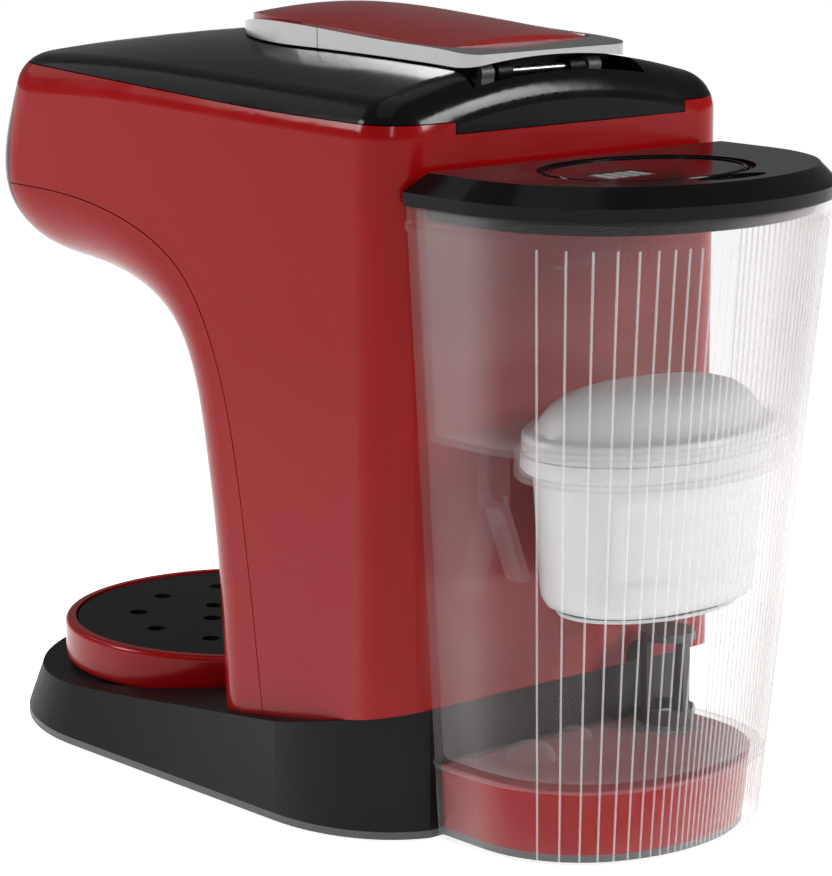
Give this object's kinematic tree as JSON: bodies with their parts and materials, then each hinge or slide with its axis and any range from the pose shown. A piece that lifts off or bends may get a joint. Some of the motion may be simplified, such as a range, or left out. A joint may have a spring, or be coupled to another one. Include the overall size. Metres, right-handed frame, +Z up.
{
  "type": "pod coffee machine",
  "caption": "Slim red pod coffee machine with an arched spout head, round drip tray, hinged brew lid and a clear lift-off rear water tank with a filter cartridge.",
  "frame": {"origin": "standing surface, under the middle of the bounding box", "axes": "+Z up, -Y towards the cup side, +Y towards the water tank, +X to the right seen from the front"},
  "size_m": [0.183, 0.372, 0.29],
  "materials": {
    "red_shell": "high gloss red moulded plastic",
    "gloss_black": "high gloss black plastic",
    "matte_black": "fine textured black plastic",
    "dark_grey": "fine textured dark grey plastic",
    "clear_plastic": "clear moulded plastic",
    "silver_trim": "satin metallised plastic",
    "start_key": "gloss black key",
    "key_print": "pale key marking",
    "steel": "plain steel",
    "rubber": "soft rubber",
    "white_filter": "satin white plastic",
    "mesh_grey": "fine woven mesh",
    "smoked_window": "smoked window",
    "frame_grey": "plain moulded plastic",
    "board_green": "coated circuit board",
    "heater_metal": "cast aluminium",
    "pump_body": "pale moulded plastic",
    "hose_silicone": "milky silicone"
  },
  "bodies": {
    "machine": {"arch_cover": "red_shell", "barcode_scanner": "frame_grey", "barcode_window": "smoked_window", "base_plate": "dark_grey", "base_screw_1": "steel", "base_screw_2": "steel", "base_screw_3": "steel", "base_screw_4": "steel", "base_shell": "matte_black", "brew_chamber": "matte_black", "chassis": "frame_grey", "control_board": "board_green", "cord_gland": "dark_grey", "coupling_seal": "rubber", "disc_holder": "dark_grey", "flow_heater": "heater_metal", "flow_meter": "pump_body", "foot_1": "rubber", "foot_2": "rubber", "foot_3": "rubber", "foot_4": "rubber", "front_panel": "gloss_black", "hinge_bracket": "dark_grey", "hose_brew": "hose_silicone", "hose_heater": "hose_silicone", "hose_tank": "hose_silicone", "lid_hinge_pin": "steel", "outer_shell": "red_shell", "piercing_unit": "steel", "pump": "pump_body", "pump_mount": "rubber", "spout_nozzle": "matte_black", "status_ring": "silver_trim", "tank_coupling": "dark_grey", "tank_pedestal": "red_shell", "top_cover": "gloss_black", "touch_key_1": "key_print", "touch_key_2": "key_print", "touch_key_3": "key_print", "touch_key_4": "key_print"},
    "brew_lid": {"lid_trim": "silver_trim", "lid_grip": "silver_trim", "lid_insert": "red_shell", "lid_base": "matte_black", "lid_seal": "rubber", "lid_piston": "matte_black", "lid_latch": "matte_black"},
    "tank": {"tank_body": "clear_plastic", "outlet_strainer": "dark_grey", "hopper": "clear_plastic", "flow_guide": "clear_plastic"},
    "valve": {"valve_poppet": "white_filter"},
    "filter": {"filter_cartridge": "white_filter", "filter_mesh": "mesh_grey"},
    "tank_lid": {"tank_lid": "gloss_black"},
    "fill_flap": {"fill_flap": "gloss_black", "memo_display": "smoked_window"},
    "drip_tray": {"drip_tray": "red_shell"},
    "drip_grid": {"drip_grid": "matte_black"},
    "start_button": {"start_button": "start_key"}
  },
  "joints": [
    {"name": "lid_hinge", "type": "hinge", "parent": "machine", "child": "brew_lid", "pos_m": [0, 0.072, 0.272], "axis": [-1, 0, 0], "range_deg": [0, 70]},
    {"name": "tank_lift", "type": "slide", "parent": "machine", "child": "tank", "axis": [0, 0, 1], "range_m": [0, 0.16]},
    {"name": "tank_lid_lift", "type": "slide", "parent": "tank", "child": "tank_lid", "axis": [0, 0, 1], "range_m": [0, 0.06]},
    {"name": "fill_flap_hinge", "type": "hinge", "parent": "tank_lid", "child": "fill_flap", "pos_m": [0.005, 0.1074, 0.2408], "axis": [1, 0, 0], "range_deg": [0, 75]},
    {"name": "filter_lift", "type": "slide", "parent": "tank", "child": "filter", "axis": [0, 0, 1], "range_m": [0, 0.05]},
    {"name": "valve_slide", "type": "slide", "parent": "tank", "child": "valve", "axis": [0, 0, 1], "range_m": [0, 0.0025], "stiffness_N_per_m": 120, "springref_m": -0.002},
    {"name": "tray_slide", "type": "slide", "parent": "machine", "child": "drip_tray", "axis": [0, -1, 0], "range_m": [0, 0.11]},
    {"name": "grid_lift", "type": "slide", "parent": "drip_tray", "child": "drip_grid", "axis": [0, 0, 1], "range_m": [0, 0.03]},
    {"name": "start_press", "type": "slide", "parent": "machine", "child": "start_button", "axis": [0, 1, 0], "range_m": [0, 0.0015], "stiffness_N_per_m": 300, "springref_m": -0.001}
  ]
}
